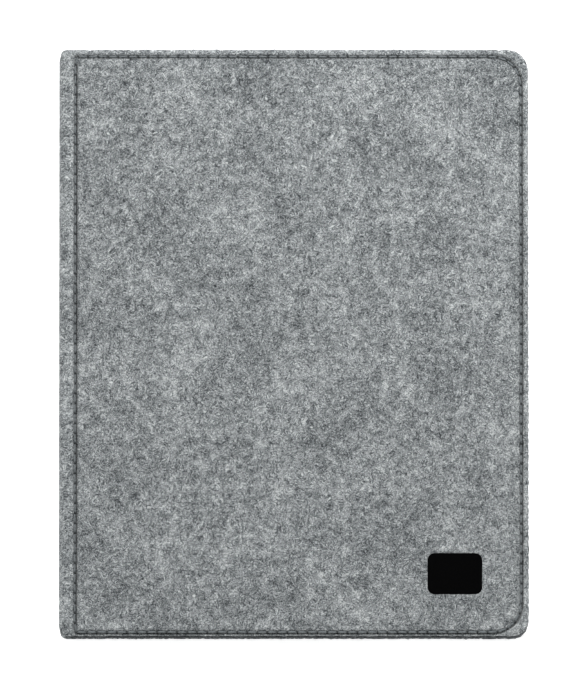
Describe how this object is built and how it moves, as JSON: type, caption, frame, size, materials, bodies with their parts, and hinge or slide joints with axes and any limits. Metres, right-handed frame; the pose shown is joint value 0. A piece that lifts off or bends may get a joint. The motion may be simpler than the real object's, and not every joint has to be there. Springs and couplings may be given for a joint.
{
  "type": "folio tablet case",
  "caption": "Book-style felt case with stitched stiff covers, folding spine, suede lining and a snap-in plastic tray for a 9.7 inch tablet.",
  "frame": {"origin": "middle of the outside of the back cover, on the surface that the closed case lies on", "axes": "+X from the spine to the free edge, +Y towards the top of the tablet, +Z out of the front cover"},
  "size_m": [0.1994, 0.25, 0.0223],
  "materials": {
    "felt": "matte",
    "suede_lining": "matte",
    "board": "matte",
    "thread": "satin",
    "magnet": "satin",
    "badge": "matte",
    "grommet_plastic": "satin",
    "tray_plastic": "matte",
    "adhesive": "matte"
  },
  "bodies": {
    "back_cover": {"back_felt": "felt", "back_board": "board", "back_lining": "suede_lining", "back_needle_thread": "thread", "back_bobbin_thread": "thread", "camera_grommet": "grommet_plastic", "tray_adhesive": "adhesive", "tablet_tray": "tray_plastic"},
    "spine": {"spine_felt": "felt", "spine_board": "board", "spine_lining": "suede_lining"},
    "front_cover": {"front_felt": "felt", "front_board": "board", "front_lining": "suede_lining", "front_needle_thread": "thread", "front_bobbin_thread": "thread", "closure_magnets": "magnet", "wake_magnet": "magnet", "badge": "badge"}
  },
  "joints": [
    {"name": "rear_fold", "type": "hinge", "parent": "back_cover", "child": "spine", "pos_m": [-0.0978, 0, 0.00195], "axis": [0, -1, 0], "range_deg": [0, 178]},
    {"name": "front_fold", "type": "hinge", "parent": "spine", "child": "front_cover", "pos_m": [-0.0978, 0, 0.02035], "axis": [0, -1, 0], "range_deg": [0, 178]}
  ]
}
